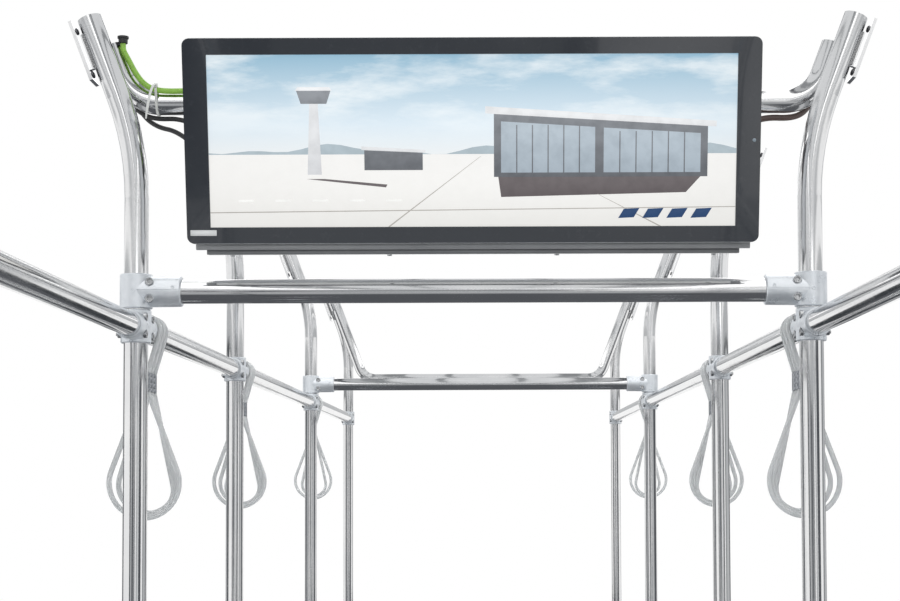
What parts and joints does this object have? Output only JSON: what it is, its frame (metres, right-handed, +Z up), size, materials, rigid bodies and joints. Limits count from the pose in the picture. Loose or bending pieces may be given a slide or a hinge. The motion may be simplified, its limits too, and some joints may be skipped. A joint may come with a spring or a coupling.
{
  "type": "bus standing-area grab-rail assembly with hanging loops and passenger display",
  "caption": "Standing-area grab rails of an airport passenger bus: posts, handrails, crossbars, cast clamp fittings, ceiling hoops, swinging grab loops and a wide display.",
  "frame": {"origin": "on the floor, under the centre of the whole assembly", "axes": "+X to the right-hand posts, +Y to the front of the bus, +Z up"},
  "size_m": [1.1754, 4.6198, 2.3013],
  "materials": {
    "tube": "polished",
    "cast_fitting": "satin",
    "display_frame": "gloss",
    "screen": "matt",
    "housing": "satin",
    "dark_metal": "satin",
    "black_plastic": "matt",
    "green_cable": "matt",
    "black_cable": "matt",
    "coated_cord": "gloss"
  },
  "bodies": {
    "structure": {"post_left_1": "tube", "post_left_2": "tube", "post_left_3": "tube", "post_left_4": "tube", "post_left_5": "tube", "post_right_1": "tube", "post_right_2": "tube", "post_right_3": "tube", "post_right_4": "tube", "post_right_5": "tube", "floor_flanges_left": "cast_fitting", "floor_flanges_right": "cast_fitting", "rail_left": "tube", "rail_right": "tube", "crossbar_rear": "tube", "crossbar_front": "tube", "tee_rear_shells": "cast_fitting", "tee_front_shells": "cast_fitting", "cross_inboard_left": "cast_fitting", "cross_outboard_left": "cast_fitting", "cross_inboard_right": "cast_fitting", "cross_outboard_right": "cast_fitting", "hoop_rear": "tube", "hoop_front": "tube", "display_bezel": "display_frame", "display_screen": "screen", "display_housing": "housing", "display_channel": "dark_metal", "display_arms": "dark_metal", "display_clamp_caps": "dark_metal", "display_glands": "black_plastic", "ceiling_bushes": "black_plastic", "cable_green": "green_cable", "cable_black_low": "black_cable", "cable_black_high": "black_cable", "cable_black_right": "black_cable"},
    "loop_left_2a": {"loop_left_2a": "coated_cord"},
    "loop_left_2b": {"loop_left_2b": "coated_cord"},
    "loop_left_2c": {"loop_left_2c": "coated_cord"},
    "loop_left_3a": {"loop_left_3a": "coated_cord"},
    "loop_left_3b": {"loop_left_3b": "coated_cord"},
    "loop_left_3c": {"loop_left_3c": "coated_cord"},
    "loop_left_4a": {"loop_left_4a": "coated_cord"},
    "loop_left_4b": {"loop_left_4b": "coated_cord"},
    "loop_right_2a": {"loop_right_2a": "coated_cord"},
    "loop_right_2b": {"loop_right_2b": "coated_cord"},
    "loop_right_2c": {"loop_right_2c": "coated_cord"},
    "loop_right_3a": {"loop_right_3a": "coated_cord"},
    "loop_right_3b": {"loop_right_3b": "coated_cord"},
    "loop_right_3c": {"loop_right_3c": "coated_cord"},
    "loop_right_4a": {"loop_right_4a": "coated_cord"},
    "loop_right_4b": {"loop_right_4b": "coated_cord"}
  },
  "joints": [
    {"name": "swing_left_2a", "type": "hinge", "parent": "structure", "child": "loop_left_2a", "pos_m": [-0.49, -1.2755, 1.841], "axis": [0, 1, 0], "range_deg": [-80, 80]},
    {"name": "swing_left_2b", "type": "hinge", "parent": "structure", "child": "loop_left_2b", "pos_m": [-0.49, -1.2525, 1.841], "axis": [0, 1, 0], "range_deg": [-80, 80]},
    {"name": "swing_left_2c", "type": "hinge", "parent": "structure", "child": "loop_left_2c", "pos_m": [-0.49, -1.2295, 1.841], "axis": [0, 1, 0], "range_deg": [-80, 80]},
    {"name": "swing_left_3a", "type": "hinge", "parent": "structure", "child": "loop_left_3a", "pos_m": [-0.49, -0.3505, 1.841], "axis": [0, 1, 0], "range_deg": [-80, 80]},
    {"name": "swing_left_3b", "type": "hinge", "parent": "structure", "child": "loop_left_3b", "pos_m": [-0.49, -0.3275, 1.841], "axis": [0, 1, 0], "range_deg": [-80, 80]},
    {"name": "swing_left_3c", "type": "hinge", "parent": "structure", "child": "loop_left_3c", "pos_m": [-0.49, -0.3045, 1.841], "axis": [0, 1, 0], "range_deg": [-80, 80]},
    {"name": "swing_left_4a", "type": "hinge", "parent": "structure", "child": "loop_left_4a", "pos_m": [-0.49, 1.0595, 1.841], "axis": [0, 1, 0], "range_deg": [-80, 80]},
    {"name": "swing_left_4b", "type": "hinge", "parent": "structure", "child": "loop_left_4b", "pos_m": [-0.49, 1.0825, 1.841], "axis": [0, 1, 0], "range_deg": [-80, 80]},
    {"name": "swing_right_2a", "type": "hinge", "parent": "structure", "child": "loop_right_2a", "pos_m": [0.49, -1.2755, 1.841], "axis": [0, 1, 0], "range_deg": [-80, 80]},
    {"name": "swing_right_2b", "type": "hinge", "parent": "structure", "child": "loop_right_2b", "pos_m": [0.49, -1.2525, 1.841], "axis": [0, 1, 0], "range_deg": [-80, 80]},
    {"name": "swing_right_2c", "type": "hinge", "parent": "structure", "child": "loop_right_2c", "pos_m": [0.49, -1.2295, 1.841], "axis": [0, 1, 0], "range_deg": [-80, 80]},
    {"name": "swing_right_3a", "type": "hinge", "parent": "structure", "child": "loop_right_3a", "pos_m": [0.49, -0.3505, 1.841], "axis": [0, 1, 0], "range_deg": [-80, 80]},
    {"name": "swing_right_3b", "type": "hinge", "parent": "structure", "child": "loop_right_3b", "pos_m": [0.49, -0.3275, 1.841], "axis": [0, 1, 0], "range_deg": [-80, 80]},
    {"name": "swing_right_3c", "type": "hinge", "parent": "structure", "child": "loop_right_3c", "pos_m": [0.49, -0.3045, 1.841], "axis": [0, 1, 0], "range_deg": [-80, 80]},
    {"name": "swing_right_4a", "type": "hinge", "parent": "structure", "child": "loop_right_4a", "pos_m": [0.49, 1.0595, 1.841], "axis": [0, 1, 0], "range_deg": [-80, 80]},
    {"name": "swing_right_4b", "type": "hinge", "parent": "structure", "child": "loop_right_4b", "pos_m": [0.49, 1.0825, 1.841], "axis": [0, 1, 0], "range_deg": [-80, 80]}
  ]
}
